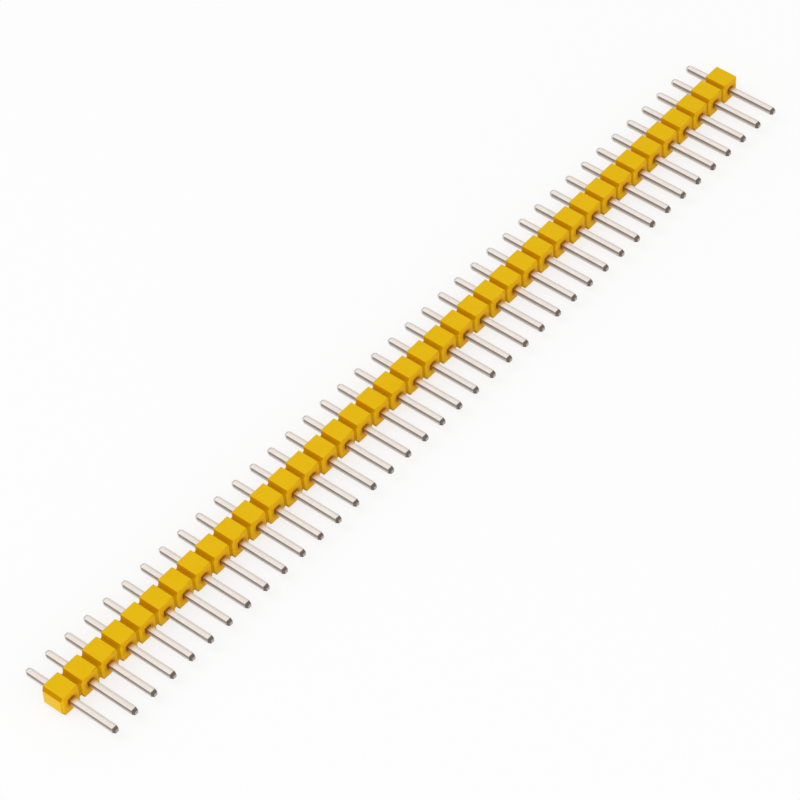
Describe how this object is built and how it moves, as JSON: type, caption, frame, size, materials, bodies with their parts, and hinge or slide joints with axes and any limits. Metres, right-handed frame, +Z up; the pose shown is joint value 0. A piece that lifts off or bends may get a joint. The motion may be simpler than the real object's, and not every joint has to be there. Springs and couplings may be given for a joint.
{
  "type": "pin header strip",
  "caption": "Single-row male pin header strip: square tapered pins through a yellow break-away moulded housing, long mating ends on one side and short solder tails on the other.",
  "frame": {"origin": "middle of the strip's footprint, on the surface that it lies on", "axes": "+X along the row of contacts, -Y the way the long mating ends point, +Y the way the short solder tails point, +Z up from the surface that the strip lies on"},
  "size_m": [0.1016, 0.011, 0.0025],
  "materials": {
    "housing_plastic": "satin",
    "pin_metal": "satin"
  },
  "bodies": {
    "root": {"housing": "housing_plastic", "pin_01": "pin_metal", "pin_02": "pin_metal", "pin_03": "pin_metal", "pin_04": "pin_metal", "pin_05": "pin_metal", "pin_06": "pin_metal", "pin_07": "pin_metal", "pin_08": "pin_metal", "pin_09": "pin_metal", "pin_10": "pin_metal", "pin_11": "pin_metal", "pin_12": "pin_metal", "pin_13": "pin_metal", "pin_14": "pin_metal", "pin_15": "pin_metal", "pin_16": "pin_metal", "pin_17": "pin_metal", "pin_18": "pin_metal", "pin_19": "pin_metal", "pin_20": "pin_metal", "pin_21": "pin_metal", "pin_22": "pin_metal", "pin_23": "pin_metal", "pin_24": "pin_metal", "pin_25": "pin_metal", "pin_26": "pin_metal", "pin_27": "pin_metal", "pin_28": "pin_metal", "pin_29": "pin_metal", "pin_30": "pin_metal", "pin_31": "pin_metal", "pin_32": "pin_metal", "pin_33": "pin_metal", "pin_34": "pin_metal", "pin_35": "pin_metal", "pin_36": "pin_metal", "pin_37": "pin_metal", "pin_38": "pin_metal", "pin_39": "pin_metal", "pin_40": "pin_metal"}
  },
  "joints": []
}
